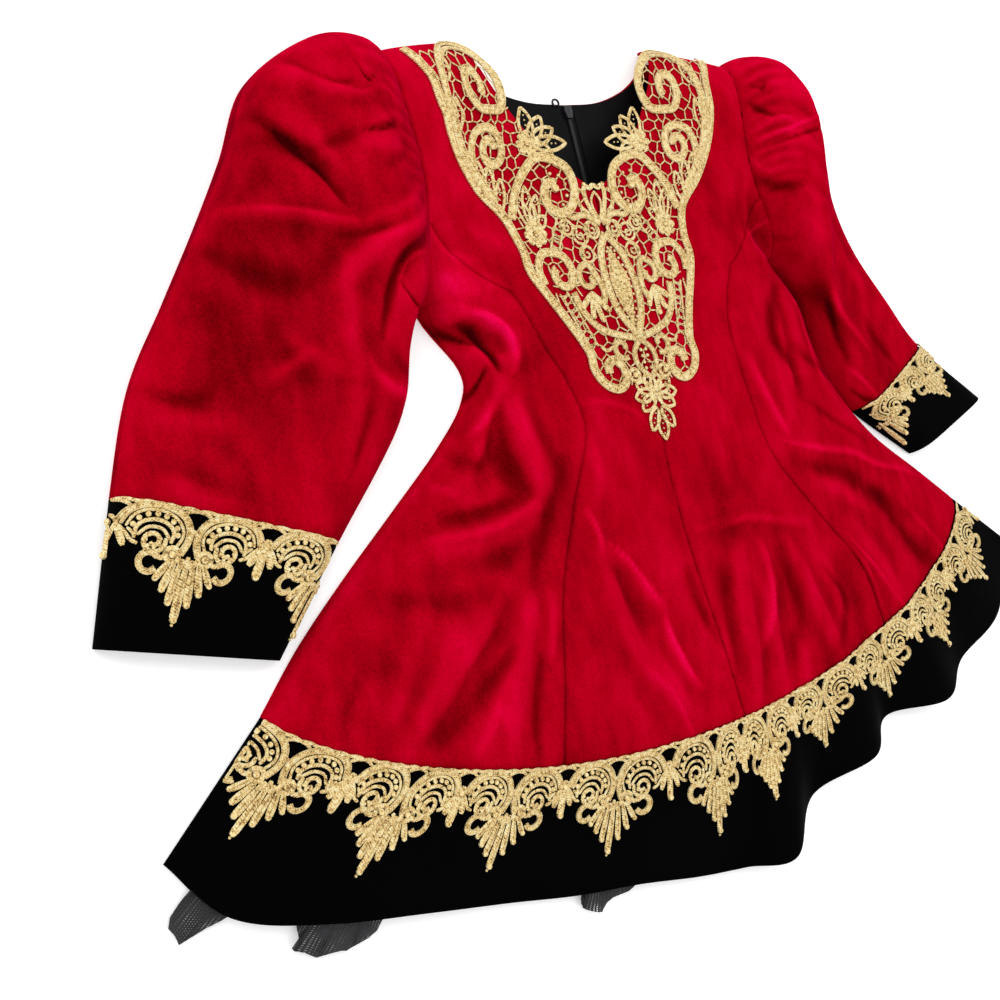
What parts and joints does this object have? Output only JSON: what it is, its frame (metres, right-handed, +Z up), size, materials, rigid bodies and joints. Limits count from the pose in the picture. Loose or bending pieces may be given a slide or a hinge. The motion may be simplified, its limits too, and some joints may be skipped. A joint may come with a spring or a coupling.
{
  "type": "girl's lace-trimmed velvet dress",
  "caption": "Long-sleeved red velvet dress with gold corded lace and black velvet hem and cuffs, laid flat on its back.",
  "frame": {"origin": "middle of the bounding box, on the surface that the dress lies on", "axes": "+X across the dress towards the wearer's left sleeve, +Y from the hem to the neck, +Z up from the surface, the way the front faces"},
  "size_m": [0.762, 0.5794, 0.0587],
  "materials": {
    "red_velvet": "crushed-nap velvet, crimson sheen",
    "black_velvet": "matt black velvet",
    "gold_lace": "corded lace in gold thread",
    "black_lining": "satin lining and zip tape",
    "black_net": "stiff net",
    "dark_metal": "dark plated metal"
  },
  "bodies": {
    "root": {"back_left": "red_velvet", "back_right": "red_velvet", "centre_front_left": "red_velvet", "centre_front_right": "red_velvet", "side_front_left": "red_velvet", "side_front_right": "red_velvet", "sleeve_left": "red_velvet", "sleeve_right": "red_velvet", "cuff_left": "black_velvet", "cuff_right": "black_velvet", "hem_band_front": "black_velvet", "hem_band_back": "black_velvet", "neck_lace": "gold_lace", "hem_edging": "gold_lace", "cuff_edging_left": "gold_lace", "cuff_edging_right": "gold_lace", "lining_left": "black_lining", "lining_right": "black_lining", "zip_tape": "black_lining", "zip_coil": "black_lining", "net_underskirt": "black_net", "zip_slider": "dark_metal", "neck_hook": "dark_metal"}
  },
  "joints": []
}
